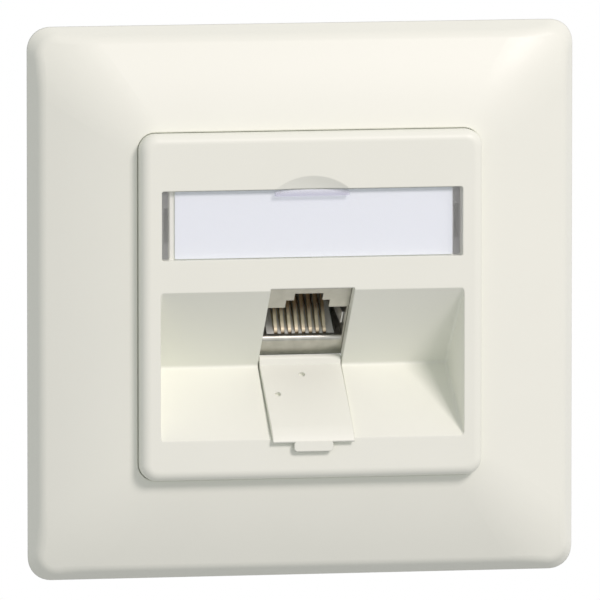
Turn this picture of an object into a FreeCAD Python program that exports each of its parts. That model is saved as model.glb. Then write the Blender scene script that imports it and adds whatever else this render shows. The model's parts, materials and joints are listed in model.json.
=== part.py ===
"""Flush data outlet: square cover frame, centre plate with a label window, and one angled jack.

X runs to the right, Y runs into the wall and Z runs up.  The wall plane is y = 0, so a point
that stands h millimetres in front of the wall has y = -h.  The origin is the centre of the
box-screw pattern on the back of the support ring.
"""

import FreeCAD, Part
import math
import os

V = FreeCAD.Vector

# How far a cutting tool runs past what it cuts, and how near counts as lying on a plane
OVERRUN = 1.0
TOUCH = 0.01

# The wall box's screw spacing sets the ring, and the ring sets the frame and the plate
BOX_SPACING = 60.0
RING_EDGE = 5.0
RING_LAND = 6.5
FRAME_OVERLAP = 5.0
PLATE_LAP = 1.5

# Cover frame
FRAME_CORNER = 4.0
RIM_HEIGHT = 2.9
RIM_INSET = 1.6
RIM_ROUND = 2.2
MITRE_ROUND = 20.0
ARCH_RUN_OUT = 6.0
ARCH_RUN_IN = 10.0
APERTURE_BEVEL = 0.15
CROWN_HEIGHT = 7.0
CROWN_RADIUS = 60.0
FRAME_WALL = 1.7
COLLAR_WALL = 1.7
LEDGE_HEIGHT = 5.4
LEDGE_THICK = 1.4
LEDGE_WIDTH = 2.0
FRAME_RIB = 1.2
FRAME_RIB_OFFSET = 14.0

# Centre plate
PLATE_CORNER = 2.4
PLATE_FRONT = 9.5
PLATE_ROUND = 1.4
PLATE_WALL = 1.6
PLATE_GAP = 0.08
INSIDE_CORNER = 0.5

# V-shaped recess for the plug
RECESS_SIDE_EDGE = 2.8
RECESS_TOP = 2.2
RECESS_DEPTH = 10.3
RECESS_DRAFT = 0.6
RECESS_WALL = 1.4
RECESS_ROUND = 0.45
JACK_TILT = 41.0
RAMP_ANGLE = 42.84

# Label window, card and the pocket that holds them
WINDOW_SIDE_EDGE = 3.0
WINDOW_TOP_EDGE = 8.15
WINDOW_HEIGHT = 10.0
WINDOW_THICK = 0.9
WINDOW_GAP = 0.08
NOTCH_HEIGHT = 0.9
NOTCH_DEPTH = 0.8
CARD_SIDE_GAP = 0.4
CARD_SHIFT = 0.35
CARD_THICK = 0.25
CARD_GAP = 0.05
CARD_MARGIN = 0.15
CARD_CORNER = 0.2
POCKET_CORNER = 0.3
POCKET_FLOOR = 1.2
POCKET_WALL = 1.2
LEG_SLOT = 1.3
LEG_THICK = 0.8
LEG_HEIGHT = 5.0
LEG_LENGTH = 3.4
LEG_HOOK = 0.3
SCOOP_WIDTH = 10.8
SCOOP_RISE = 1.9
SCOOP_DEPTH = 2.2

# Dust flap and its hinge; "depth" is measured square to the recess's upper face
SLOT_SPARE = 0.25
SLOT_SIDE_GAP = 0.2
SLOT_RELIEF = 0.2
HINGE_DEPTH = 0.65
HINGE_LIFT = 0.6
BARREL_RADIUS = 0.6
PIN_RADIUS = 0.3
PIN_FIT = 0.03
PIN_LENGTH = 1.0
PIN_END_GAP = 0.15
FLAP_THICK = 0.85
FLAP_PROUD = 0.35
FLAP_REST_GAP = 0.1
FLAP_CLEAR = 0.3
FLAP_OVERHANG = 0.45
FLAP_TIP_FACE = 0.25
FLAP_TIP_CURVE = 2.6
TAB_WIDTH = 5.7
TAB_DROP = 1.25
TAB_THICK = 0.65
TAB_CORNER = 0.5
TAB_CLEAR = 0.25
MARK_RADIUS = 0.42
MARK_DEPTH = 0.5
MARK_PLACES = ((0.0, 2.9), (-4.1, 6.7))

# Support ring and the screws through it
RING_CORNER = 6.0
RING_THICK = 1.2
RING_OPENING_CORNER = 8.0
BOX_SLOT_WIDTH = 4.2
BOX_SLOT_LENGTH = 8.0
LUG_HEIGHT = 13.0
LUG_END = 11.2
PLATE_SCREW_X = 15.5
PLATE_SCREW_RADIUS = 1.5
PLATE_SCREW_HEAD = 2.75
PLATE_SCREW_HEAD_THICK = 1.7
PLATE_SCREW_REACH = 2.4
DRIVE_ARM = 1.65
DRIVE_HALF = 0.33
DRIVE_DEPTH = 1.0
POST_WALL = 0.9
POST_END_GAP = 0.3
SCREW_CLEAR = 0.25
THREAD_FIT = 0.03
RIVET_X = 21.2
RIVET_RADIUS = 1.0
RIVET_HEAD = 1.5
RIVET_HEAD_THICK = 0.7
RIVET_FIT = 0.03

# Module carrier
CARRIER_FLANGE = 2.0
CARRIER_FLANGE_HEIGHT = 9.0
CARRIER_FLANGE_WIDTH = 46.0
CARRIER_CORNER = 1.0
SLEEVE_WALL = 1.8
SLEEVE_START = 9.5
SLEEVE_FIT = 0.1

# Jack module, in its own frame: X across, Y inward from the recess face, Z up the face
JACK_FACE = 1.6
JACK_TOP = -1.3
JACK_CHEEK = 1.6
JACK_ROOF = 1.0
JACK_BASE = 3.5
SHELL_LENGTH = 22.0
SHELL_WALL = 0.8
SHELL_ROUND = 0.5
COLLAR_THICK = 1.1
COLLAR_RISE = 1.0
COLLAR_TO_BACK = 2.0
SNAP_RISE = 0.6
SNAP_LENGTH = 1.2
SNAP_HEIGHT = 5.0
PORT_WIDTH = 11.8
PORT_HEIGHT = 6.5
PORT_DEPTH = 13.5
STEP_WIDTH = 6.4
STEP_RISE = 1.5
LATCH_WIDTH = 4.15
LATCH_RISE = 1.4
LIP_DEPTH = 0.9
LIP_ROUND = 0.7
CHANNEL_WIDTH = 10.0
INSERT_FIT = 0.08
INSERT_BACK = 2.4

# Contacts
CONTACT_COUNT = 8
CONTACT_PITCH = 1.02
CONTACT_WIDTH = 0.46
CONTACT_THICK = 0.32
CONTACT_SLOT = 0.56
CONTACT_DROP = 1.25
CONTACT_BEND = 0.75
CONTACT_INSET = 0.2
CONTACT_ANGLE = 24.0
CONTACT_RISE = 3.9

# Board, terminal block, cap and rear shield
BOARD_THICK = 1.0
BOARD_HOLE = 0.32
STACK_GAP = 0.05
BLOCK_STAND = 0.8
BLADE_COLUMNS = 4
BLADE_PITCH = 3.2
BLADE_ROW_SPACING = 7.0
BLADE_WIDTH = 2.2
BLADE_THICK = 0.4
BLADE_FIT = 0.1
BLADE_FORK = 0.5
BLADE_FORK_DEPTH = 2.4
WIRE_GROOVE = 1.0
WIRE_GROOVE_DEPTH = 2.6
CAP_THICK = 2.2
CAP_BORE = 3.4
REAR_ROOM = 3.45
REAR_WALL = 0.9
ENTRY_RADIUS = 3.7
ENTRY_WALL = 1.3
ENTRY_LENGTH = 4.0

# Shield springs that stand against the plug's sides
SPRING_THICK = 0.25
SPRING_HEIGHT = 2.2
SPRING_LENGTH = 8.0
SPRING_BOW = 0.5

# Places worked out from the sizes above
TILT = math.radians(JACK_TILT)
RING_SIDE = BOX_SPACING + 2 * RING_EDGE
RING_OPENING = BOX_SPACING - 2 * RING_LAND
FRAME_SIDE = RING_SIDE + 2 * FRAME_OVERLAP
PLATE_SIDE = RING_OPENING + 2 * PLATE_LAP
HALF_FRAME = FRAME_SIDE / 2
HALF_APERTURE = PLATE_SIDE / 2 + PLATE_GAP
RECESS_WIDTH = PLATE_SIDE - 2 * RECESS_SIDE_EDGE
WINDOW_WIDTH = PLATE_SIDE - 2 * WINDOW_SIDE_EDGE
WINDOW_Z = PLATE_SIDE / 2 - WINDOW_TOP_EDGE - WINDOW_HEIGHT / 2
CARD_WIDTH = WINDOW_WIDTH - 2 * (LEG_SLOT + CARD_SIDE_GAP)
POCKET_DEPTH = WINDOW_THICK + CARD_GAP + CARD_THICK
POCKET_BACK = PLATE_FRONT - POCKET_DEPTH
HEAD_SEAT = POCKET_BACK - PLATE_SCREW_HEAD_THICK
POST_RADIUS = PLATE_SCREW_HEAD + SCREW_CLEAR + POST_WALL
FOLD_Z = RECESS_TOP - RECESS_DEPTH / math.tan(TILT)
RECESS_BOTTOM = FOLD_Z - RECESS_DEPTH * math.tan(math.radians(RAMP_ANGLE))

# The hinge lies just up the face from the fold; the open flap rests over the ramp's front edge
SLOT_WIDTH = PORT_WIDTH + 2 * SLOT_SPARE
FLAP_OUTER = HINGE_DEPTH + FLAP_PROUD
HINGE_RUN = RECESS_DEPTH / math.sin(TILT) - HINGE_LIFT
HINGE_Y = HINGE_DEPTH * math.cos(TILT) + HINGE_RUN * math.sin(TILT) - PLATE_FRONT
HINGE_Z = RECESS_TOP + HINGE_DEPTH * math.sin(TILT) - HINGE_RUN * math.cos(TILT)
EDGE_RUN = HINGE_Y + PLATE_FRONT
EDGE_DROP = HINGE_Z - RECESS_BOTTOM
EDGE_ANGLE = math.atan2(EDGE_DROP, EDGE_RUN)
OPEN_SLOPE = EDGE_ANGLE - math.asin((FLAP_OUTER + FLAP_REST_GAP) / math.hypot(EDGE_RUN, EDGE_DROP))
FLAP_TURN = 90.0 - JACK_TILT + math.degrees(OPEN_SLOPE)

# Jack module
JACK_WIDTH = PORT_WIDTH + 2 * JACK_CHEEK
JACK_HEIGHT = JACK_BASE + PORT_HEIGHT + STEP_RISE + LATCH_RISE + JACK_ROOF
JACK_BOTTOM = JACK_TOP - JACK_HEIGHT
JACK_MIDDLE = JACK_TOP - JACK_HEIGHT / 2
PORT_FLOOR = JACK_BOTTOM + JACK_BASE
PORT_SHOULDER = PORT_FLOOR + PORT_HEIGHT
PORT_BACK = JACK_FACE + PORT_DEPTH
CHANNEL_FLOOR = JACK_BOTTOM + SHELL_WALL
SHELL_BACK = JACK_FACE + SHELL_LENGTH
COLLAR_FRONT = SHELL_BACK - COLLAR_TO_BACK - COLLAR_THICK
INSERT_FRONT = JACK_FACE + LIP_DEPTH + INSERT_FIT
INSERT_END = PORT_BACK + INSERT_BACK
CONTACT_TAIL = PORT_FLOOR - CONTACT_DROP
BOARD_FRONT = INSERT_END + STACK_GAP
BLOCK_FRONT = BOARD_FRONT + BOARD_THICK + STACK_GAP
BLOCK_BACK = SHELL_BACK + BLOCK_STAND
CAP_FRONT = BLOCK_BACK + STACK_GAP
REAR_BACK = CAP_FRONT + CAP_THICK + REAR_ROOM + REAR_WALL


def rounded_outline(width, height, corner, y, x=0.0, z=0.0):
    """Closed wire of a rectangle with round corners, square to Y."""
    right = x + width / 2
    left = x - width / 2
    top = z + height / 2
    foot = z - height / 2
    bow = corner * (1 - math.sqrt(0.5))

    def line(x0, z0, x1, z1):
        return Part.makeLine(V(x0, y, z0), V(x1, y, z1))

    def arc(x0, z0, x1, z1, x2, z2):
        return Part.Arc(V(x0, y, z0), V(x1, y, z1), V(x2, y, z2)).toShape()

    edges = [arc(right - corner, foot, right - bow, foot + bow, right, foot + corner)]
    if height > 2 * corner:
        edges.append(line(right, foot + corner, right, top - corner))
    edges.append(arc(right, top - corner, right - bow, top - bow, right - corner, top))
    if width > 2 * corner:
        edges.append(line(right - corner, top, left + corner, top))
    edges.append(arc(left + corner, top, left + bow, top - bow, left, top - corner))
    if height > 2 * corner:
        edges.append(line(left, top - corner, left, foot + corner))
    edges.append(arc(left, foot + corner, left + bow, foot + bow, left + corner, foot))
    if width > 2 * corner:
        edges.append(line(left + corner, foot, right - corner, foot))
    return Part.Wire(edges)


def slab(width, height, corner, y_front, y_back, x=0.0, z=0.0):
    """Round-cornered plate between two Y planes."""
    face = Part.Face(rounded_outline(width, height, corner, y_front, x, z))
    return face.extrude(V(0, y_back - y_front, 0))


def block(x0, x1, y0, y1, z0, z1):
    """Plain block between the given limits."""
    return Part.makeBox(x1 - x0, y1 - y0, z1 - z0, V(x0, y0, z0))


def rod(radius, x, z, y0, y1):
    """Round bar along Y."""
    return Part.makeCylinder(radius, y1 - y0, V(x, y0, z), V(0, 1, 0))


def fuse_all(shapes):
    """One clean solid from pieces that touch or overlap."""
    whole = shapes[0]
    if len(shapes) > 1:
        whole = whole.multiFuse(shapes[1:])
    return whole.removeSplitter()


def single(shape):
    """The one solid inside a boolean result."""
    solids = shape.Solids
    return solids[0] if len(solids) == 1 else Part.makeCompound(solids)


def to_jack_frame(shape):
    """Turn a shape from the jack's own frame and set it on the recess's top edge."""
    placed = shape.copy()
    placed.rotate(V(0, 0, 0), V(1, 0, 0), JACK_TILT)
    placed.translate(V(0, -PLATE_FRONT, RECESS_TOP))
    return placed


def on_arch(a):
    """Height of the frame's crown at the distance a from the middle."""
    shoulder = HALF_FRAME - RIM_INSET
    run = shoulder - HALF_APERTURE
    rise = CROWN_HEIGHT - RIM_HEIGHT
    chord = math.hypot(run, rise)
    lift = math.sqrt(CROWN_RADIUS ** 2 - chord ** 2 / 4)
    centre_a = HALF_APERTURE + run / 2 - lift * rise / chord
    centre_h = RIM_HEIGHT + rise / 2 - lift * run / chord
    return centre_h + math.sqrt(CROWN_RADIUS ** 2 - (a - centre_a) ** 2)


def octagon(half, diagonal):
    """Prism along Y with sides at the distance half and bevelled corners at the distance diagonal."""
    turn = diagonal * math.sqrt(2) - half
    corners = [(half, -turn), (half, turn), (turn, half), (-turn, half),
               (-half, turn), (-half, -turn), (-turn, -half), (turn, -half)]
    points = [V(x, -2 * CROWN_HEIGHT, z) for x, z in corners]
    return Part.Face(Part.makePolygon(points + [points[0]])).extrude(V(0, 4 * CROWN_HEIGHT, 0))


def drafted_rim(half, corner):
    """Pyramid with round edges that bounds the frame's rim."""
    top = 2 * CROWN_HEIGHT
    high = half - top * RIM_INSET / RIM_HEIGHT
    signs = ((1, -1), (1, 1), (-1, 1), (-1, -1))
    foot = [V(x * half, 0, z * half) for x, z in signs]
    head = [V(x * high, -top, z * high) for x, z in signs]
    loops = [foot[::-1], head]
    for i in range(4):
        after = (i + 1) % 4
        loops.append([foot[i], foot[after], head[after], head[i]])
    faces = [Part.Face(Part.makePolygon(loop + [loop[0]])) for loop in loops]
    solid = Part.Solid(Part.Shell(faces))
    if solid.Volume < 0:
        solid.reverse()
    edges = [e for e in solid.Edges if e.BoundBox.YLength > CROWN_HEIGHT]
    return solid.makeFillet(corner, edges)


def crowned_body(inset, mitre_round):
    """Cover frame's outer form, drawn in by inset: two arched profiles crossed, inside a drafted rim."""
    reach = HALF_FRAME + ARCH_RUN_OUT
    near = HALF_APERTURE - ARCH_RUN_IN
    middle = (reach + near) / 2
    low = -2 * CROWN_HEIGHT

    def profile(side):
        def at(a):
            return side(a, on_arch(abs(a)) - inset)

        edges = [
            Part.makeLine(side(-reach, low), side(reach, low)),
            Part.makeLine(side(reach, low), at(reach)),
            Part.Arc(at(reach), at(middle), at(near)).toShape(),
            Part.makeLine(at(near), at(-near)),
            Part.Arc(at(-near), at(-middle), at(-reach)).toShape(),
            Part.makeLine(at(-reach), side(-reach, low)),
        ]
        return Part.Face(Part.Wire(edges))

    span = FRAME_SIDE * 2
    along_z = profile(lambda a, h: V(a, -h, -span / 2)).extrude(V(0, 0, span))
    along_x = profile(lambda a, h: V(-span / 2, -h, a)).extrude(V(span, 0, 0))
    outside = octagon(reach - OVERRUN, HALF_FRAME * math.sqrt(2))
    inside = octagon(PLATE_SIDE / 2 - LEDGE_WIDTH - OVERRUN, HALF_APERTURE + ARCH_RUN_IN / 4)
    ring = along_z.common(along_x).common(outside).cut(inside)
    mitres = []
    for edge in ring.Edges:
        diagonal = all(abs(abs(v.Point.x) - abs(v.Point.z)) < TOUCH for v in edge.Vertexes)
        if diagonal and len(edge.Vertexes) == 2 and edge.BoundBox.YLength > RIM_HEIGHT / 2:
            mitres.append(edge)
    if mitre_round:
        ring = ring.makeFillet(mitre_round, mitres)
    return drafted_rim(HALF_FRAME - inset, FRAME_CORNER - inset).common(ring)


def cover_frame():
    """Hollow crowned frame with a collar, a ledge for the plate and stiffening ribs."""
    outer = crowned_body(0.0, MITRE_ROUND)
    rim_edges = []
    for edge in outer.Edges:
        ends = [v.Point for v in edge.Vertexes]
        shoulder = all(-p.y > RIM_HEIGHT / 2 for p in ends)
        far = all(max(abs(p.x), abs(p.z)) > HALF_FRAME - 2 * RIM_INSET for p in ends)
        if shoulder and far:
            rim_edges.append(edge)
    outer = outer.makeFillet(RIM_ROUND, rim_edges)
    shell = outer.cut(crowned_body(FRAME_WALL, 0.0))
    collar_half = HALF_APERTURE + COLLAR_WALL
    ledge_half = PLATE_SIDE / 2 - LEDGE_WIDTH
    collar_corner = PLATE_CORNER + PLATE_GAP + COLLAR_WALL
    collar_side = 2 * collar_half
    collar = slab(collar_side, collar_side, collar_corner, -CROWN_HEIGHT, LEDGE_THICK - LEDGE_HEIGHT)
    ribs = []
    for side in (-1, 1):
        for offset in (-FRAME_RIB_OFFSET, FRAME_RIB_OFFSET):
            near = collar_half - COLLAR_WALL / 2
            far = HALF_FRAME - FRAME_WALL / 2
            low = offset - FRAME_RIB / 2
            high = offset + FRAME_RIB / 2
            reach = sorted((side * near, side * far))
            ribs.append(block(reach[0], reach[1], -CROWN_HEIGHT, -RING_THICK * 2, low, high))
            ribs.append(block(low, high, -CROWN_HEIGHT, -RING_THICK * 2, reach[0], reach[1]))
    inside = [piece.common(outer) for piece in [collar] + ribs]
    body = fuse_all([shell] + inside)
    side = 2 * HALF_APERTURE
    aperture = slab(side, side, PLATE_CORNER + PLATE_GAP, -2 * CROWN_HEIGHT, -LEDGE_HEIGHT)
    ledge_hole = slab(2 * ledge_half, 2 * ledge_half, PLATE_CORNER, -LEDGE_HEIGHT - OVERRUN, 0.0)
    lip = on_arch(HALF_APERTURE) - APERTURE_BEVEL
    corner = PLATE_CORNER + PLATE_GAP
    flare = Part.makeLoft([
        rounded_outline(side, side, corner, -lip),
        rounded_outline(side + 2 * CROWN_HEIGHT, side + 2 * CROWN_HEIGHT, corner + CROWN_HEIGHT,
                        -lip - CROWN_HEIGHT)], True, True)
    return single(body.cut(aperture).cut(ledge_hole).cut(flare))


def recess_wedge(offset, lead):
    """Solid V of the recess, grown by offset on every wall and run out by lead in front of the plate."""
    slope = math.radians(RAMP_ANGLE)
    front = PLATE_FRONT + lead
    grow_ramp = offset / math.cos(slope)
    top_start = RECESS_TOP + offset / math.sin(TILT)
    ramp_start = RECESS_BOTTOM - grow_ramp
    cot = 1 / math.tan(TILT)
    tan = math.tan(slope)
    top_front = top_start + lead * cot
    ramp_front = ramp_start - lead * tan
    depth = (top_start - ramp_start) / (cot + tan)
    fold_z = top_start - depth * cot
    draft = RECESS_DRAFT / RECESS_DEPTH
    side_grow = offset * math.hypot(1, draft)
    half_front = RECESS_WIDTH / 2 + side_grow + draft * lead
    half_fold = RECESS_WIDTH / 2 + side_grow - draft * depth
    fold_y = depth - PLATE_FRONT
    corners = {}
    for name, sign in (("left", -1), ("right", 1)):
        corners[name] = (
            V(sign * half_front, -front, top_front),
            V(sign * half_fold, fold_y, fold_z),
            V(sign * half_front, -front, ramp_front),
        )
    left = corners["left"]
    right = corners["right"]
    loops = [
        [left[0], left[1], left[2]],
        [right[0], right[2], right[1]],
        [left[0], right[0], right[1], left[1]],
        [left[1], right[1], right[2], left[2]],
        [left[2], right[2], right[0], left[0]],
    ]
    faces = [Part.Face(Part.makePolygon(loop + [loop[0]])) for loop in loops]
    solid = Part.Solid(Part.Shell(faces))
    if solid.Volume < 0:
        solid.reverse()
    return solid


def recess_cut():
    """The recess itself, with its fold and its side walls blended."""
    wedge = recess_wedge(0.0, PLATE_ROUND)
    inner_edges = []
    for edge in wedge.Edges:
        on_front = all(abs(v.Point.y + PLATE_FRONT + PLATE_ROUND) < TOUCH for v in edge.Vertexes)
        if not on_front:
            inner_edges.append(edge)
    return wedge.makeFillet(RECESS_ROUND, inner_edges)


def hinge_pocket():
    """Trough that takes the open flap, with a round end for its barrel, cut into the ramp."""
    half = SLOT_WIDTH / 2
    room = FLAP_OUTER + FLAP_CLEAR
    barrel = Part.makeCylinder(room, 2 * half, V(-half, HINGE_DEPTH, -HINGE_RUN), V(1, 0, 0))
    barrel = to_jack_frame(barrel)
    floor = FLAP_OUTER + FLAP_REST_GAP
    trough = block(-half, half, -2 * EDGE_RUN, 0.0, -floor, FLAP_OUTER)
    trough.rotate(V(0, 0, 0), V(1, 0, 0), math.degrees(OPEN_SLOPE))
    trough.translate(V(0, HINGE_Y, HINGE_Z))
    return [barrel, trough]


def centre_plate():
    """Square plate with the recess, the label pocket, the scoop, two screw posts and the hinge bores."""
    outer = slab(PLATE_SIDE, PLATE_SIDE, PLATE_CORNER, -PLATE_FRONT, -LEDGE_HEIGHT)
    front_edges = [e for e in outer.Edges if all(abs(v.Point.y + PLATE_FRONT) < TOUCH for v in e.Vertexes)]
    outer = outer.makeFillet(PLATE_ROUND, front_edges)
    room_side = PLATE_SIDE - 2 * PLATE_WALL
    room_corner = max(PLATE_CORNER - PLATE_WALL, INSIDE_CORNER)
    room = slab(room_side, room_side, room_corner, PLATE_WALL - PLATE_FRONT, 0.0)
    body = outer.cut(room)
    trim_half = PLATE_SIDE / 2 - LEDGE_WIDTH - PLATE_GAP
    keep = slab(2 * trim_half, 2 * trim_half, PLATE_CORNER, PLATE_ROUND - PLATE_FRONT, 2 * RECESS_DEPTH)
    v_wall = recess_wedge(RECESS_WALL, 0.0).common(keep)
    pocket_box = slab(
        WINDOW_WIDTH + 2 * POCKET_WALL, WINDOW_HEIGHT + 2 * POCKET_WALL, INSIDE_CORNER,
        PLATE_ROUND - PLATE_FRONT, POCKET_FLOOR - POCKET_BACK, 0.0, WINDOW_Z)
    posts = []
    for side in (-1, 1):
        posts.append(rod(POST_RADIUS, side * PLATE_SCREW_X, WINDOW_Z,
                         POCKET_FLOOR / 2 - POCKET_BACK, -RING_THICK - POST_END_GAP))
    within = room_side + PLATE_WALL
    pocket_box = pocket_box.common(slab(within, within, room_corner, -PLATE_FRONT, 0.0))
    body = fuse_all([body, v_wall, pocket_box] + posts)

    cuts = [recess_cut()]
    pocket_mouth = -PLATE_FRONT - OVERRUN
    cuts.append(slab(WINDOW_WIDTH, WINDOW_HEIGHT, POCKET_CORNER, pocket_mouth, -POCKET_BACK, 0.0, WINDOW_Z))
    for side in (-1, 1):
        slot_x = side * (WINDOW_WIDTH / 2 - LEG_SLOT / 2)
        cuts.append(slab(LEG_SLOT, WINDOW_HEIGHT, POCKET_CORNER, -PLATE_FRONT, 0.0, slot_x, WINDOW_Z))
        post_x = side * PLATE_SCREW_X
        cuts.append(rod(PLATE_SCREW_HEAD + SCREW_CLEAR, post_x, WINDOW_Z, -PLATE_FRONT, -HEAD_SEAT))
        cuts.append(rod(PLATE_SCREW_RADIUS + SCREW_CLEAR, post_x, WINDOW_Z, -PLATE_FRONT, 0.0))
    segment = (SCOOP_WIDTH ** 2 / 4 + SCOOP_RISE ** 2) / (2 * SCOOP_RISE)
    ball = (segment ** 2 + SCOOP_DEPTH ** 2) / (2 * SCOOP_DEPTH)
    scoop_z = WINDOW_Z + WINDOW_HEIGHT / 2 + SCOOP_RISE - segment
    dish = Part.makeSphere(ball, V(0, SCOOP_DEPTH - PLATE_FRONT - ball, scoop_z))
    scoop_foot = WINDOW_Z + WINDOW_HEIGHT / 2 - WINDOW_GAP
    upper = block(-SCOOP_WIDTH, SCOOP_WIDTH, -PLATE_FRONT - ball, 0.0, scoop_foot, PLATE_SIDE)
    cuts.append(dish.common(upper))

    half = SLOT_WIDTH / 2
    slot = block(-half, half, -PLATE_WALL, RECESS_WALL * 2, -HINGE_RUN, SLOT_RELIEF)
    jack_half = JACK_WIDTH / 2 + FLAP_CLEAR
    nose = block(-jack_half, jack_half, RECESS_WALL, JACK_FACE + RECESS_DEPTH,
                 JACK_BOTTOM - FLAP_CLEAR, JACK_TOP + FLAP_CLEAR)
    bore_end = half - SLOT_SIDE_GAP + PIN_LENGTH + PIN_END_GAP
    bore_start = V(-bore_end, HINGE_DEPTH, -HINGE_RUN)
    bore = Part.makeCylinder(PIN_RADIUS + PIN_FIT, 2 * bore_end, bore_start, V(1, 0, 0))
    for tool in (slot, nose, bore):
        cuts.append(to_jack_frame(tool))
    for tool in cuts + hinge_pocket():
        body = body.cut(tool)
    return single(body)


def dust_flap():
    """Flap at rest, open on the ramp: panel, hinge barrel, two stub pins, finger tab and mould marks."""
    half = SLOT_WIDTH / 2 - SLOT_SIDE_GAP
    outer = -FLAP_PROUD
    inner = outer + FLAP_THICK
    tip = FLAP_OVERHANG
    tip_inner = outer + FLAP_TIP_FACE
    fall = inner - tip_inner
    bow = (fall ** 2 + FLAP_TIP_CURVE ** 2) / (2 * fall)
    mid_turn = math.asin(FLAP_TIP_CURVE / bow) / 2

    def at(depth, run):
        return V(-half, depth, run)

    start = at(inner, tip - FLAP_TIP_CURVE)
    middle = at(inner - bow * (1 - math.cos(mid_turn)), tip - FLAP_TIP_CURVE + bow * math.sin(mid_turn))
    outline = Part.Wire([
        Part.makeLine(at(outer, -HINGE_RUN), at(outer, tip)),
        Part.makeLine(at(outer, tip), at(tip_inner, tip)),
        Part.Arc(at(tip_inner, tip), middle, start).toShape(),
        Part.makeLine(start, at(inner, -HINGE_RUN)),
        Part.makeLine(at(inner, -HINGE_RUN), at(outer, -HINGE_RUN))])
    panel = Part.Face(outline).extrude(V(2 * half, 0, 0))
    barrel = Part.makeCylinder(BARREL_RADIUS, 2 * half, V(-half, HINGE_DEPTH, -HINGE_RUN), V(1, 0, 0))
    lean = BARREL_RADIUS * math.sqrt(0.5)
    crest = V(-half, HINGE_DEPTH + lean, lean - HINGE_RUN)
    web_end = crest.z + crest.y - inner
    web_line = Part.makePolygon([at(inner, -HINGE_RUN), crest, at(inner, web_end), at(inner, -HINGE_RUN)])
    web = Part.Face(web_line).extrude(V(2 * half, 0, 0))
    pin_reach = half + PIN_LENGTH
    pins = Part.makeCylinder(PIN_RADIUS, 2 * pin_reach, V(-pin_reach, HINGE_DEPTH, -HINGE_RUN), V(1, 0, 0))
    body = fuse_all([panel, barrel, web, pins])
    for mark_x, mark_run in MARK_PLACES:
        centre = V(mark_x, inner - MARK_DEPTH, mark_run - HINGE_RUN)
        body = body.cut(Part.makeCylinder(MARK_RADIUS, FLAP_THICK, centre, V(0, 1, 0)))
    body.rotate(V(0, HINGE_DEPTH, -HINGE_RUN), V(1, 0, 0), FLAP_TURN)
    body = to_jack_frame(body)
    reach = HINGE_RUN + FLAP_OVERHANG
    tip_z = HINGE_Z - reach * math.sin(OPEN_SLOPE) - FLAP_OUTER * math.cos(OPEN_SLOPE)
    back = -PLATE_FRONT - TAB_CLEAR
    root = tip_z + FLAP_TIP_FACE
    tab = slab(TAB_WIDTH, TAB_DROP + FLAP_TIP_FACE, TAB_CORNER, back - TAB_THICK, back, 0.0,
               root - (TAB_DROP + FLAP_TIP_FACE) / 2)
    return single(fuse_all([body, tab]))


def label_window():
    """Clear cover of the label, held by two hooked legs in the slots at its ends."""
    width = WINDOW_WIDTH - 2 * WINDOW_GAP
    height = WINDOW_HEIGHT - 2 * WINDOW_GAP
    pane = slab(width, height, POCKET_CORNER, -PLATE_FRONT, WINDOW_THICK - PLATE_FRONT, 0.0, WINDOW_Z)
    edge = WINDOW_Z + height / 2
    bevel = Part.makePolygon([
        V(-SCOOP_WIDTH / 2, -PLATE_FRONT, edge - NOTCH_HEIGHT), V(-SCOOP_WIDTH / 2, -PLATE_FRONT, edge),
        V(-SCOOP_WIDTH / 2, NOTCH_DEPTH - PLATE_FRONT, edge),
        V(-SCOOP_WIDTH / 2, -PLATE_FRONT, edge - NOTCH_HEIGHT)])
    pane = pane.cut(Part.Face(bevel).extrude(V(SCOOP_WIDTH, 0, 0)))
    legs = []
    low = WINDOW_Z - LEG_HEIGHT / 2
    high = WINDOW_Z + LEG_HEIGHT / 2
    top = WINDOW_THICK / 2 - PLATE_FRONT
    foot = WINDOW_THICK - PLATE_FRONT + LEG_LENGTH
    for side in (-1, 1):
        inner = side * (width / 2 - LEG_HOOK - LEG_THICK)
        outer = side * (width / 2 - LEG_HOOK)
        hook = side * width / 2
        hook_top = POCKET_FLOOR - POCKET_BACK + LEG_HOOK
        outline = Part.makePolygon([
            V(inner, top, low), V(outer, top, low), V(outer, hook_top, low), V(hook, hook_top, low),
            V(outer, foot, low), V(inner, foot, low), V(inner, top, low)])
        legs.append(Part.Face(outline).extrude(V(0, 0, high - low)))
    return single(fuse_all([pane] + legs))


def label_card():
    """Paper card behind the window."""
    height = WINDOW_HEIGHT - 2 * CARD_MARGIN
    front = WINDOW_THICK + CARD_GAP - PLATE_FRONT
    return slab(CARD_WIDTH, height, CARD_CORNER, front, -POCKET_BACK, CARD_SHIFT, WINDOW_Z)


def plate_screws():
    """Two cross-recessed screws that draw the plate, and the frame under it, onto the ring."""
    screws = []
    for side in (-1, 1):
        x = side * PLATE_SCREW_X
        head = rod(PLATE_SCREW_HEAD, x, WINDOW_Z, -POCKET_BACK, -HEAD_SEAT)
        shank = rod(PLATE_SCREW_RADIUS, x, WINDOW_Z, -HEAD_SEAT, PLATE_SCREW_REACH)
        body = head.fuse(shank)
        deep = DRIVE_DEPTH - POCKET_BACK
        for wide, tall in ((DRIVE_ARM, DRIVE_HALF), (DRIVE_HALF, DRIVE_ARM)):
            body = body.cut(block(x - wide, x + wide, -POCKET_BACK, deep, WINDOW_Z - tall, WINDOW_Z + tall))
        screws.append(single(body))
    return Part.makeCompound(screws)


def rivet_places():
    """Centres of the rivets, as (x, z)."""
    return [(side * RIVET_X, WINDOW_Z) for side in (-1, 1)]


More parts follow.
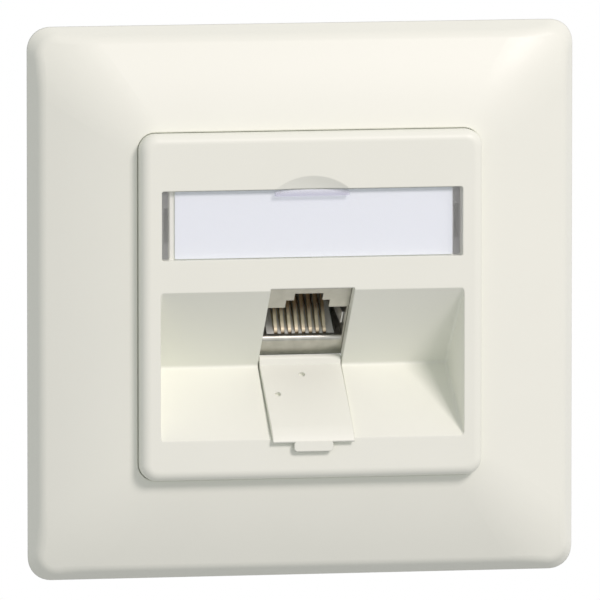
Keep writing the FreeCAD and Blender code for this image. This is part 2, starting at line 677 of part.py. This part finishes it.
def support_ring():
    """Pressed steel ring with two lugs, slots for box screws, and threaded holes for the plate."""
    body = slab(RING_SIDE, RING_SIDE, RING_CORNER, -RING_THICK, 0.0)
    body = body.cut(slab(RING_OPENING, RING_OPENING, RING_OPENING_CORNER, -RING_THICK, 0.0))
    lugs = []
    for side in (-1, 1):
        ends = sorted((side * LUG_END, side * (RING_OPENING / 2 + RING_THICK)))
        lugs.append(slab(ends[1] - ends[0], LUG_HEIGHT, RING_THICK, -RING_THICK, 0.0, sum(ends) / 2, WINDOW_Z))
    body = fuse_all([body] + lugs)
    slot_corner = BOX_SLOT_WIDTH / 2
    for side in (-1, 1):
        place = side * BOX_SPACING / 2
        body = body.cut(slab(BOX_SLOT_LENGTH, BOX_SLOT_WIDTH, slot_corner, -RING_THICK, 0.0, place, 0.0))
        body = body.cut(slab(BOX_SLOT_WIDTH, BOX_SLOT_LENGTH, slot_corner, -RING_THICK, 0.0, 0.0, place))
        body = body.cut(rod(PLATE_SCREW_RADIUS + THREAD_FIT, side * PLATE_SCREW_X, WINDOW_Z, -RING_THICK, 0.0))
    for x, z in rivet_places():
        body = body.cut(rod(RIVET_RADIUS + RIVET_FIT, x, z, -RING_THICK, 0.0))
    return single(body)


def carrier_rivets():
    """Two rivets that join the carrier to the ring's lugs."""
    rivets = []
    for x, z in rivet_places():
        shank = rod(RIVET_RADIUS, x, z, -RING_THICK, CARRIER_FLANGE)
        front = rod(RIVET_HEAD, x, z, -RING_THICK - RIVET_HEAD_THICK, -RING_THICK)
        back = rod(RIVET_HEAD, x, z, CARRIER_FLANGE, CARRIER_FLANGE + RIVET_HEAD_THICK)
        rivets.append(single(fuse_all([shank, front, back])))
    return Part.makeCompound(rivets)


def module_carrier():
    """Moulded holder: a flange behind the ring's lugs and a tilted sleeve that grips the jack."""
    flange = slab(CARRIER_FLANGE_WIDTH, CARRIER_FLANGE_HEIGHT, CARRIER_CORNER, 0.0, CARRIER_FLANGE, 0.0,
                  WINDOW_Z)
    half = JACK_WIDTH / 2 + SLEEVE_FIT
    low = JACK_BOTTOM - SLEEVE_FIT
    high = JACK_TOP + SLEEVE_FIT
    wall = SLEEVE_WALL
    outer = slab(2 * (half + wall), high - low + 2 * wall, wall / 2, SLEEVE_START, COLLAR_FRONT, 0.0,
                 (high + low) / 2)
    hollow = block(-half, half, 0.0, 2 * SHELL_BACK, low, high)
    body = fuse_all([flange, to_jack_frame(outer)]).cut(to_jack_frame(hollow))
    for side in (-1, 1):
        way = rod(PLATE_SCREW_RADIUS + SCREW_CLEAR, side * PLATE_SCREW_X, WINDOW_Z, 0.0, CARRIER_FLANGE)
        body = body.cut(way)
    for x, z in rivet_places():
        body = body.cut(rod(RIVET_RADIUS + RIVET_FIT, x, z, 0.0, CARRIER_FLANGE))
    return single(body)


def port_outline(front, back):
    """Stepped plug opening between two depths."""
    shoulder = PORT_SHOULDER
    main = block(-PORT_WIDTH / 2, PORT_WIDTH / 2, front, back, PORT_FLOOR, shoulder)
    step = block(-STEP_WIDTH / 2, STEP_WIDTH / 2, front, back, shoulder, shoulder + STEP_RISE)
    latch = block(-LATCH_WIDTH / 2, LATCH_WIDTH / 2, front, back, shoulder, shoulder + STEP_RISE + LATCH_RISE)
    return main, step, latch


def jack_shell():
    """Die-cast shield of the jack: stepped port, rounded lip, contact channel, collar and snap noses."""
    half = JACK_WIDTH / 2
    body = slab(JACK_WIDTH, JACK_HEIGHT, SHELL_ROUND, JACK_FACE, SHELL_BACK, 0.0, JACK_MIDDLE)
    collar = slab(JACK_WIDTH + 2 * COLLAR_RISE, JACK_HEIGHT + 2 * COLLAR_RISE, SHELL_ROUND,
                  COLLAR_FRONT, COLLAR_FRONT + COLLAR_THICK, 0.0, JACK_MIDDLE)
    noses = []
    for side in (-1, 1):
        z = JACK_MIDDLE - SNAP_HEIGHT / 2
        back = SLEEVE_START
        front = back - SNAP_LENGTH
        outline = Part.makePolygon([
            V(side * (half - SHELL_WALL / 2), front, z), V(side * half, front, z),
            V(side * (half + SNAP_RISE), back, z), V(side * (half - SHELL_WALL / 2), back, z),
            V(side * (half - SHELL_WALL / 2), front, z)])
        noses.append(Part.Face(outline).extrude(V(0, 0, SNAP_HEIGHT)))
    body = fuse_all([body, collar] + noses)
    inner = half - SHELL_WALL
    rear = block(-inner, inner, PORT_BACK, SHELL_BACK, JACK_BOTTOM + SHELL_WALL, JACK_TOP - SHELL_WALL)
    wide = CHANNEL_WIDTH / 2
    channel = block(-wide, wide, JACK_FACE + LIP_DEPTH, PORT_BACK, CHANNEL_FLOOR, PORT_FLOOR)
    for tool in port_outline(JACK_FACE, PORT_BACK) + (rear, channel):
        body = body.cut(tool)
    lip = []
    for edge in body.Edges:
        box = edge.BoundBox
        on_face = abs(box.YMin - JACK_FACE) < TOUCH and box.YLength < TOUCH
        on_floor = abs(box.ZMin - PORT_FLOOR) < TOUCH and box.ZLength < TOUCH
        if on_face and on_floor:
            lip.append(edge)
    return single(body.makeFillet(LIP_ROUND, lip))


def contact_places():
    """X of each contact, from left to right."""
    return [(i - (CONTACT_COUNT - 1) / 2) * CONTACT_PITCH for i in range(CONTACT_COUNT)]


def jack_insert():
    """Comb under the port's floor and the wall behind the port, in one moulding."""
    half = CHANNEL_WIDTH / 2 - INSERT_FIT
    comb = block(-half, half, INSERT_FRONT, INSERT_END, CHANNEL_FLOOR + INSERT_FIT, PORT_FLOOR)
    wall_half = JACK_WIDTH / 2 - SHELL_WALL - INSERT_FIT
    wall = block(-wall_half, wall_half, PORT_BACK + INSERT_FIT, INSERT_END,
                 JACK_BOTTOM + SHELL_WALL + INSERT_FIT, JACK_TOP - SHELL_WALL - INSERT_FIT)
    body = fuse_all([comb, wall])
    floor = CONTACT_TAIL - CONTACT_SLOT / 2
    roof = CONTACT_TAIL + CONTACT_SLOT / 2
    for x in contact_places():
        left = x - CONTACT_SLOT / 2
        right = x + CONTACT_SLOT / 2
        body = body.cut(block(left, right, INSERT_FRONT, PORT_BACK, floor, PORT_FLOOR))
        body = body.cut(block(left, right, PORT_BACK, INSERT_END, floor, roof))
    return single(body)


def contact(x):
    """One gilt spring strip: straight tail, hairpin bend, and the slope that the plug presses on."""
    end = BOARD_FRONT + BOARD_THICK
    bend_y = INSERT_FRONT + CONTACT_INSET + CONTACT_BEND + CONTACT_THICK / 2
    bend_z = CONTACT_TAIL + CONTACT_BEND
    rise = math.radians(CONTACT_ANGLE)
    left = x - CONTACT_WIDTH / 2
    length = CONTACT_RISE / math.sin(rise)

    def path(radius):
        def on_bend(turn):
            return V(left, bend_y - radius * math.sin(turn), bend_z - radius * math.cos(turn))

        leave = on_bend(math.pi - rise)
        tip = leave + V(0, length * math.cos(rise), length * math.sin(rise))
        return V(left, end, bend_z - radius), on_bend(0.0), on_bend((math.pi - rise) / 2), leave, tip

    inside = path(CONTACT_BEND - CONTACT_THICK / 2)
    outside = path(CONTACT_BEND + CONTACT_THICK / 2)
    edges = [Part.makeLine(inside[0], outside[0]), Part.makeLine(inside[4], outside[4])]
    for side in (inside, outside):
        edges.append(Part.makeLine(side[0], side[1]))
        edges.append(Part.Arc(side[1], side[2], side[3]).toShape())
        edges.append(Part.makeLine(side[3], side[4]))
    outline = Part.Wire(Part.__sortEdges__(edges))
    return Part.Face(outline).extrude(V(CONTACT_WIDTH, 0, 0))


def stack_face():
    """Half width, foot and top of the pieces stacked behind the port."""
    gap = SHELL_WALL + INSERT_FIT
    return JACK_WIDTH / 2 - gap, JACK_BOTTOM + gap, JACK_TOP - gap


def blade_places():
    """Centres of the terminal blades, as (x, z)."""
    columns = [(i - (BLADE_COLUMNS - 1) / 2) * BLADE_PITCH for i in range(BLADE_COLUMNS)]
    rows = (JACK_MIDDLE + BLADE_ROW_SPACING / 2, JACK_MIDDLE - BLADE_ROW_SPACING / 2)
    return [(x, z) for z in rows for x in columns]


def jack_board():
    """Small circuit board between the contacts and the terminal blades."""
    half, low, high = stack_face()
    body = block(-half, half, BOARD_FRONT, BOARD_FRONT + BOARD_THICK, low, high)
    for x in contact_places():
        body = body.cut(block(x - BOARD_HOLE, x + BOARD_HOLE, BOARD_FRONT, BOARD_FRONT + BOARD_THICK,
                              CONTACT_TAIL - BOARD_HOLE, CONTACT_TAIL + BOARD_HOLE))
    return single(body)


def terminal_block():
    """Moulded block with a slot for each blade and grooves that the wires are pressed into."""
    half, low, high = stack_face()
    body = block(-half, half, BLOCK_FRONT, BLOCK_BACK, low, high)
    groove_front = BLOCK_BACK - WIRE_GROOVE_DEPTH
    for x, z in blade_places():
        wide = BLADE_THICK / 2 + BLADE_FIT
        tall = BLADE_WIDTH / 2 + BLADE_FIT
        body = body.cut(block(x - wide, x + wide, BLOCK_FRONT, BLOCK_BACK, z - tall, z + tall))
    for z in sorted({place[1] for place in blade_places()}):
        body = body.cut(block(-half, half, groove_front, BLOCK_BACK, z - WIRE_GROOVE / 2, z + WIRE_GROOVE / 2))
    return single(body)


def terminal_blade(x, z):
    """Forked blade that cuts through a wire's insulation."""
    wide = BLADE_THICK / 2
    body = block(x - wide, x + wide, BLOCK_FRONT, BLOCK_BACK, z - BLADE_WIDTH / 2, z + BLADE_WIDTH / 2)
    fork = BLADE_FORK / 2
    notch = block(x - wide, x + wide, BLOCK_BACK - BLADE_FORK_DEPTH, BLOCK_BACK, z - fork, z + fork)
    return single(body.cut(notch))


def wire_cap():
    """Cap that presses the wires into the blades, with a way through for the cable."""
    half, low, high = stack_face()
    body = slab(2 * half, high - low, SHELL_ROUND, CAP_FRONT, CAP_FRONT + CAP_THICK, 0.0, (low + high) / 2)
    return single(body.cut(rod(CAP_BORE, 0.0, JACK_MIDDLE, CAP_FRONT, CAP_FRONT + CAP_THICK)))


def rear_shield():
    """Die-cast rear cover with the cable entry."""
    back = REAR_BACK
    body = slab(JACK_WIDTH, JACK_HEIGHT, SHELL_ROUND, SHELL_BACK, back, 0.0, JACK_MIDDLE)
    rim = [e for e in body.Edges if e.BoundBox.YMin > back - TOUCH]
    body = body.makeChamfer(SHELL_ROUND / 2, rim)
    entry = rod(ENTRY_RADIUS + ENTRY_WALL, 0.0, JACK_MIDDLE, back - REAR_WALL / 2, back + ENTRY_LENGTH)
    body = fuse_all([body, entry])
    wide = JACK_WIDTH / 2 - SHELL_WALL
    hollow = block(-wide, wide, SHELL_BACK, back - REAR_WALL, JACK_BOTTOM + SHELL_WALL, JACK_TOP - SHELL_WALL)
    bore = rod(ENTRY_RADIUS, 0.0, JACK_MIDDLE, SHELL_BACK, back + ENTRY_LENGTH)
    return single(body.cut(hollow).cut(bore))


def shield_spring(side):
    """Bowed strip along one side of the port, which earths the plug's screen."""
    wall = side * (PORT_WIDTH / 2 - INSERT_FIT)
    front = JACK_FACE + LIP_DEPTH
    back = front + SPRING_LENGTH
    middle = (front + back) / 2
    z = (PORT_FLOOR + PORT_SHOULDER - SPRING_HEIGHT) / 2
    inner = wall - side * SPRING_THICK
    bow = side * SPRING_BOW
    outline = Part.Wire([
        Part.Arc(V(wall, front, z), V(wall - bow, middle, z), V(wall, back, z)).toShape(),
        Part.makeLine(V(wall, back, z), V(inner, back, z)),
        Part.Arc(V(inner, back, z), V(inner - bow, middle, z), V(inner, front, z)).toShape(),
        Part.makeLine(V(inner, front, z), V(wall, front, z))])
    return Part.Face(outline).extrude(V(0, 0, SPRING_HEIGHT))


def build_parts():
    """Every node of the outlet by name."""
    parts = {
        "cover_frame": cover_frame(),
        "centre_plate": centre_plate(),
        "dust_flap": dust_flap(),
        "label_window": label_window(),
        "label_card": label_card(),
        "plate_screws": plate_screws(),
        "support_ring": support_ring(),
        "module_carrier": module_carrier(),
        "carrier_rivets": carrier_rivets(),
    }
    module = {
        "jack_shell": jack_shell(),
        "jack_insert": jack_insert(),
        "jack_board": jack_board(),
        "terminal_block": terminal_block(),
        "wire_cap": wire_cap(),
        "rear_shield": rear_shield(),
        "shield_spring_left": shield_spring(-1),
        "shield_spring_right": shield_spring(1),
    }
    for number, x in enumerate(contact_places(), 1):
        module["contact_%d" % number] = contact(x)
    for number, (x, z) in enumerate(blade_places(), 1):
        module["terminal_blade_%d" % number] = terminal_blade(x, z)
    for name, shape in module.items():
        parts[name] = to_jack_frame(shape)
    return parts


os.makedirs("parts", exist_ok=True)
for name, shape in build_parts().items():
    print(name, len(shape.Solids), "solid", round(shape.Volume, 2), "mm3", shape.isValid())
    shape.exportStep("parts/" + name + ".step")
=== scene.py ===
# %% [markdown]
# # Looks of a flush data outlet
# The object is a wall outlet for a network plug: a crowned cover frame, a centre plate with a label
# window, and a shielded jack with a dust flap.  All its shapes are solids that come in from the packed
# frame and keep their places.  This script dresses them, with one procedural material for each finish,
# and then adds a floor, a world, a lamp and a camera.

# %% Load the frame
import json
import math

import bmesh
import bpy
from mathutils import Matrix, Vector


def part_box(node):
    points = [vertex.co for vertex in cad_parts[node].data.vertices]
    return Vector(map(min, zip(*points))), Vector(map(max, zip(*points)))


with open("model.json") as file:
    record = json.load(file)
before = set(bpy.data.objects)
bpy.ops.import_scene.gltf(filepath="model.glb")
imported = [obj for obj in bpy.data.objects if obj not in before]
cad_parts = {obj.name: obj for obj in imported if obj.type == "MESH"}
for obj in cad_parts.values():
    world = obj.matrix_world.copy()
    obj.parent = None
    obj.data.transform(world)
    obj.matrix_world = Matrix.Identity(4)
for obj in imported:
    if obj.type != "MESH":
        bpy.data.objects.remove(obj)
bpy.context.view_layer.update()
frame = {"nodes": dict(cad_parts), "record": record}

MM = 0.001
nodes = frame["nodes"]

# %% [markdown]
# ## A helper for shader nodes
# Shader maths could be wired by hand, one Math node and one link at a time, but that is slow to read.
# Here one class wraps a socket, so that plain arithmetic on it adds the Math nodes.  Its method `node`
# makes every other kind of node: settings go in first, then the values or links of its sockets.


# %% Socket class
class Net:
    """A shader socket that takes part in plain arithmetic."""

    def __init__(self, tree, socket=None):
        self.tree = tree
        self.socket = socket

    def feed(self, slot, value):
        """Link a socket to the slot, or set the slot to a plain value."""
        if isinstance(value, Net):
            self.tree.links.new(value.socket, slot)
        else:
            slot.default_value = value

    def node(self, kind, output=0, inputs=None, **settings):
        """Add a node, set it, feed its inputs and hand back one of its outputs."""
        made = self.tree.nodes.new("ShaderNode" + kind)
        for name, value in settings.items():
            setattr(made, name, value)
        for name, value in (inputs or {}).items():
            self.feed(made.inputs[name], value)
        return Net(self.tree, made.outputs[output])

    def math(self, operation, first, second=0.0):
        return self.node("Math", inputs={0: first, 1: second}, operation=operation)

    def __add__(self, other):
        return self.math("ADD", self, other)

    def __radd__(self, other):
        return self.math("ADD", other, self)

    def __sub__(self, other):
        return self.math("SUBTRACT", self, other)

    def __rsub__(self, other):
        return self.math("SUBTRACT", other, self)

    def __mul__(self, other):
        return self.math("MULTIPLY", self, other)

    def __rmul__(self, other):
        return self.math("MULTIPLY", other, self)

    def __truediv__(self, other):
        return self.math("DIVIDE", self, other)

    def __rtruediv__(self, other):
        return self.math("DIVIDE", other, self)

    def __gt__(self, other):
        return self.math("GREATER_THAN", self, other)

    def __abs__(self):
        return self.math("ABSOLUTE", self)

    def place(self, axis):
        """One axis of the Object coordinates, in metres from the part's origin."""
        return self.node("SeparateXYZ", axis, {0: self.node("TexCoord", "Object")})

    def noise(self, cells, detail=2.0):
        """Noise on Object coordinates, with so many cells to the metre."""
        spot = self.node("TexCoord", "Object")
        return self.node("TexNoise", "Fac", {"Vector": spot, "Scale": cells, "Detail": detail})

    def blend(self, share, low, high):
        """Colour between low and high."""
        return self.node("Mix", 2, {0: share, 6: (*low, 1), 7: (*high, 1)}, data_type="RGBA")

    def relief(self, height, strength, edge=0.0, depth=0.02 * MM):
        """Normal with fine relief, over edges that are softened by the radius edge."""
        inputs = {"Height": height, "Strength": strength, "Distance": depth}
        if edge:
            inputs["Normal"] = self.node("Bevel", inputs={"Radius": edge}, samples=6)
        return self.node("Bump", inputs=inputs)


def new_material(name):
    """A new material with its shader: (material, net, principled node)."""
    made = bpy.data.materials.new(name)
    made.use_nodes = True
    tree = made.node_tree
    shader = next(n for n in tree.nodes if n.type == "BSDF_PRINCIPLED")
    return made, Net(tree), shader


MEAN = 0.5
finishes = {}
print("helper:", Net.__name__, "for noise that swings round", MEAN)

# %% [markdown]
# ## Ivory plastic
# Frame, plate and flap are mouldings in one ivory plastic with a satin skin.  One flat colour would do
# from afar, but close up it looks like a drawing.  So slow noise drifts the colour a little, and fine
# noise varies the gloss and gives a faint grain.  Small edges that are sharp on the solids get a Bevel
# node.  It rounds only the shading, so the outline and the number of faces stay as they are.

# %% Moulded plastic
DRIFT_CELLS = 70.0


def moulded(name, low, high, rough, grain, edge, coat=0.0):
    """Moulded plastic: slow colour drift, a fine grain and softened edges."""
    made, net, shader = new_material(name)
    drift = net.noise(DRIFT_CELLS)
    fine = net.noise(grain, 3.0)
    net.feed(shader.inputs["Base Color"], net.blend(drift, low, high))
    net.feed(shader.inputs["Roughness"], rough + 0.1 * (fine - MEAN) + 0.06 * (drift - MEAN))
    net.feed(shader.inputs["Normal"], net.relief(fine, 0.12, edge))
    shader.inputs["Specular IOR Level"].default_value = 0.4
    shader.inputs["Coat Weight"].default_value = coat
    shader.inputs["Coat Roughness"].default_value = 0.25
    return made


finishes["ivory_plastic"] = moulded(
    "ivory", low=(0.87, 0.889, 0.807), high=(0.90, 0.918, 0.836),
    rough=0.42, grain=2600.0, edge=0.22 * MM, coat=0.08)
print("made:", finishes["ivory_plastic"].name)

# %% [markdown]
# ## Plastics and board inside
# The comb in the port, the terminal block and the wire cap are pale plastic.  The carrier behind the
# plate is dark grey, and the circuit board has a green lacquer.  Each could have a builder of its own.
# All of them are smooth skins with a soft gloss, so the builder of the ivory plastic serves again.

# %% Inner plastics
finishes["insert_plastic"] = moulded(
    "insert", low=(0.84, 0.85, 0.81), high=(0.90, 0.91, 0.87),
    rough=0.4, grain=3000.0, edge=0.06 * MM)
finishes["grey_plastic"] = moulded(
    "carrier_grey", low=(0.10, 0.105, 0.115), high=(0.13, 0.135, 0.145),
    rough=0.5, grain=2200.0, edge=0.2 * MM)
finishes["board_green"] = moulded(
    "board", low=(0.02, 0.13, 0.05), high=(0.03, 0.18, 0.07),
    rough=0.35, grain=2600.0, edge=0.05 * MM)
print("finishes so far:", len(finishes))

# %% [markdown]
# ## Nickel and zinc
# The jack's shell and rear shield are castings under dull nickel.  The ring, the screws, the rivets and
# the strips beside the port are steel under zinc.  Scratches could be drawn, but such metal shows soft
# clouds and fine pits instead.  One noise makes the clouds, in tone and gloss, and a finer one the pits.


# %% Plated metal
def metal(name, low, high, rough, clouds, pits, edge):
    """Plated metal with cloudy tone, fine pits and softened edges."""
    made, net, shader = new_material(name)
    cloud = net.noise(clouds, 4.0)
    fine = net.noise(pits, 4.0)
    net.feed(shader.inputs["Base Color"], net.blend(cloud, low, high))
    net.feed(shader.inputs["Roughness"], rough + 0.16 * (cloud - MEAN) + 0.08 * (fine - MEAN))
    net.feed(shader.inputs["Normal"], net.relief(fine, 0.2, edge))
    shader.inputs["Metallic"].default_value = 1.0
    return made


finishes["nickel_casting"] = metal(
    "nickel", low=(0.40, 0.40, 0.36), high=(0.64, 0.63, 0.58),
    rough=0.34, clouds=700.0, pits=3000.0, edge=0.1 * MM)
finishes["zinc_steel"] = metal(
    "zinc", low=(0.62, 0.63, 0.65), high=(0.78, 0.79, 0.81),
    rough=0.36, clouds=260.0, pits=2200.0, edge=0.1 * MM)
print("finishes so far:", len(finishes))

# %% [markdown]
# ## Gilt contacts
# The eight contacts are thin gilt strips.  Their colour carries a painted highlight at one height, with
# painted shade in a browner gilt above and below.  An image could hold that light and shade.  The height
# in the part gives it without one, and it is the same on every strip.  The terminal blades share the
# material and lie higher up, so they get the painted shade all over.

# %% Gilt with painted highlight and painted shade
# Height in the part of the painted highlight, and the distances from it where the painted shade begins
# and where it is full.
GLINT_HEIGHT = -3.2 * MM
GLINT_REACH = 0.6 * MM
PAINTED_SHADE_FROM = 2.0 * MM
GILT_GRAIN_CELLS = 4200.0


def gilt(name, glint_gilt, shaded_gilt):
    """Gilt strip with a painted highlight at one height, fading into painted shade, a browner gilt,
    above and below.
    """
    made, net, shader = new_material(name)
    # Painted highlight and painted shade: bright gilt near one height of the part, browner gilt away
    # from it.
    away = abs(net.place("Z") - GLINT_HEIGHT)
    painted_shade = net.node("MapRange", 0, {"Value": away, "From Min": GLINT_REACH, "From Max": PAINTED_SHADE_FROM})
    fine = net.noise(GILT_GRAIN_CELLS, 3.0)
    net.feed(shader.inputs["Base Color"], net.blend(painted_shade * (0.85 + 0.3 * fine), glint_gilt, shaded_gilt))
    net.feed(shader.inputs["Roughness"], 0.44 + 0.04 * painted_shade + 0.08 * (fine - MEAN))
    shader.inputs["Metallic"].default_value = 1.0
    return made


finishes["gilt_contact"] = gilt("gilt", glint_gilt=(1.0, 0.91, 0.70), shaded_gilt=(0.38, 0.27, 0.16))
print("glint height in mm:", round(GLINT_HEIGHT / MM, 2))

# %% [markdown]
# ## Label card
# The card behind the window is blank white paper with a cool tint.  Single fibres could be modelled, but
# they are far finer than a pixel here.  Noise with much detail stands for them, and it varies colour,
# gloss and relief together.

# %% Card
FIBRE_CELLS = 3200.0


def paper(name, low, high):
    """Card with short fibres."""
    made, net, shader = new_material(name)
    fibre = net.noise(FIBRE_CELLS, 6.0)
    net.feed(shader.inputs["Base Color"], net.blend(fibre, low, high))
    net.feed(shader.inputs["Roughness"], 0.75 + 0.1 * fibre)
    net.feed(shader.inputs["Normal"], net.relief(fibre, 0.1))
    return made


finishes["label_paper"] = paper("card", low=(0.87, 0.92, 1.0), high=(0.90, 0.95, 1.0))
print("made:", finishes["label_paper"].name)

# %% [markdown]
# ## Clear cover
# The label window is thin clear plastic, with a bevelled notch under the scoop and a leg at each end.
# A glass shader would bend the view of the card and throw a dark shadow on it.  Alpha lets card and
# light through.  The notch is shaded by its place, most at its lower edge, and the ends over the legs
# are a little hazier.

# %% Clear plastic
NOTCH_HEIGHT = 0.9 * MM
NOTCH_HALF = 5.4 * MM
LEG_START = 20.4 * MM
HAZE_CELLS = 400.0


def clear(name, tint, shade, top):
    """Clear cover: denser at glancing angles, shaded at its notch below the top, hazy over its legs."""
    made, net, shader = new_material(name)
    haze = net.noise(HAZE_CELLS, 3.0)
    rise = (net.place("Z") - (top - NOTCH_HEIGHT)) / NOTCH_HEIGHT
    beside = abs(net.place("X"))
    notch = (rise > 0.0) * (1.0 - (beside > NOTCH_HALF)) * (1.0 - 0.8 * rise)
    net.feed(shader.inputs["Base Color"], net.blend(notch, tint, shade))
    net.feed(shader.inputs["Roughness"], 0.04 + 0.05 * haze)
    glance = net.node("LayerWeight", "Facing", {"Blend": 0.3})
    legs = 0.1 * (beside > LEG_START)
    net.feed(shader.inputs["Alpha"], 0.01 + 0.02 * haze + 0.1 * glance + 0.6 * notch + legs)
    return made


window_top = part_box("label_window")[1][2]
finishes["clear_plastic"] = clear(
    "clear_cover", tint=(0.97, 0.97, 0.99), shade=(0.60, 0.61, 0.76), top=window_top)
print("top of the window in mm:", round(window_top / MM, 2))

# %% [markdown]
# ## Hand the finishes out
# Every node is one solid piece of the outlet.  Its material could be chosen here by name, but the record
# already gives each node a slot, so the two lists can't drift apart.

# %% Dress the nodes
for entry in frame["record"]["subparts"]:
    mesh = nodes[entry["node"]].data
    mesh.materials.clear()
    mesh.materials.append(finishes[entry["material_slot"]])

# %% [markdown]
# ## Floor
# An outlet sits on a wall, but a wall here would hide its back.  A wide pale floor lies well below it
# instead and sends a little light up.  One square face is enough, so a grid of a single cell makes it.

# %% Pale floor
FLOOR_REACH = 3.0
FLOOR_HEIGHT = -1.6
FLOOR_CELLS = 3.0

floor_mesh = bpy.data.meshes.new("floor")
shape = bmesh.new()
bmesh.ops.create_grid(shape, x_segments=1, y_segments=1, size=FLOOR_REACH)
bmesh.ops.translate(shape, vec=(0.0, 0.0, FLOOR_HEIGHT), verts=shape.verts)
shape.to_mesh(floor_mesh)
shape.free()
floor = bpy.data.objects.new("floor", floor_mesh)
bpy.context.scene.collection.objects.link(floor)
pale, pale_net, pale_shader = new_material("pale_floor")
pale_tone = pale_net.blend(pale_net.noise(FLOOR_CELLS), (0.78, 0.78, 0.78), (0.8, 0.8, 0.8))
pale_net.feed(pale_shader.inputs["Base Color"], pale_tone)
pale_shader.inputs["Roughness"].default_value = 0.9
floor_mesh.materials.append(pale)
print("floor faces:", len(floor_mesh.polygons))

# %% [markdown]
# ## World
# The background is plain white.  A white world at full strength would flood the outlet with light and
# leave no shade in its recess.  The Light Path node parts the two: the eye, reflections and clear
# plastic see white, and the light that falls on the outlet is only the weaker fill.

# %% White background
FILL = 0.50

world = bpy.data.worlds.new("studio")
bpy.context.scene.world = world
world.use_nodes = True
sky = Net(world.node_tree)
background = next(n for n in world.node_tree.nodes if n.type == "BACKGROUND")
eye = sky.node("LightPath", "Is Camera Ray") + sky.node("LightPath", "Is Glossy Ray")
eye = eye + sky.node("LightPath", "Is Transmission Ray")
seen = eye > 0.5
background.inputs["Color"].default_value = (1, 1, 1, 1)
sky.feed(background.inputs["Strength"], FILL + (1.0 - FILL) * seen)
print("fill:", FILL)

# %% [markdown]
# ## Key light
# The frame's top and right faces are the bright ones, and shadows have soft edges.  Several lamps could
# share the work, but one broad area light in front, above and to the right gives both.  It is slightly
# warm, as room light is.


# %% Lamp
def lamp(name, direction, distance, size, level, colour):
    """Square area light aimed at the outlet; level 1 renders a facing white surface as white."""
    data = bpy.data.lights.new(name, "AREA")
    data.size = size
    data.energy = level * math.pi ** 2 * distance ** 2
    data.color = colour
    obj = bpy.data.objects.new(name, data)
    way = Vector(direction).normalized()
    obj.location = way * distance
    obj.rotation_euler = way.to_track_quat("Z", "Y").to_euler()
    bpy.context.scene.collection.objects.link(obj)
    return obj


key = lamp(
    "key", direction=(0.38, -0.74, 0.55), distance=1.6, size=0.4, level=0.54, colour=(1.0, 0.91, 0.90))
print("key light at:", [round(v, 2) for v in key.location])

# %% [markdown]
# ## Camera
# The view is from a little to the left and above, and edges that are parallel stay nearly so.  An
# orthographic camera would make them fully parallel.  A long lens far away keeps the slight taper.

# %% Camera
SENSOR_WIDTH = 36.0


def aim_camera(azimuth, elevation, distance, lens, target):
    """Camera on a sphere round the target, level with the horizon."""
    turn = math.radians(azimuth)
    lift = math.radians(elevation)
    back = Vector((math.sin(turn) * math.cos(lift), -math.cos(turn) * math.cos(lift), math.sin(lift)))
    data = bpy.data.cameras.new("camera")
    data.lens = lens
    data.sensor_width = SENSOR_WIDTH
    obj = bpy.data.objects.new("camera", data)
    obj.location = Vector(target) + back * distance
    obj.rotation_euler = back.to_track_quat("Z", "Y").to_euler()
    bpy.context.scene.collection.objects.link(obj)
    bpy.context.scene.camera = obj
    return obj


camera = aim_camera(
    azimuth=-10.8, elevation=6.0, distance=2.0, lens=831.6, target=(-0.066 * MM, 0.0, -0.138 * MM))
bpy.context.scene.view_settings.view_transform = "Standard"
print("camera at:", [round(v, 2) for v in camera.location])
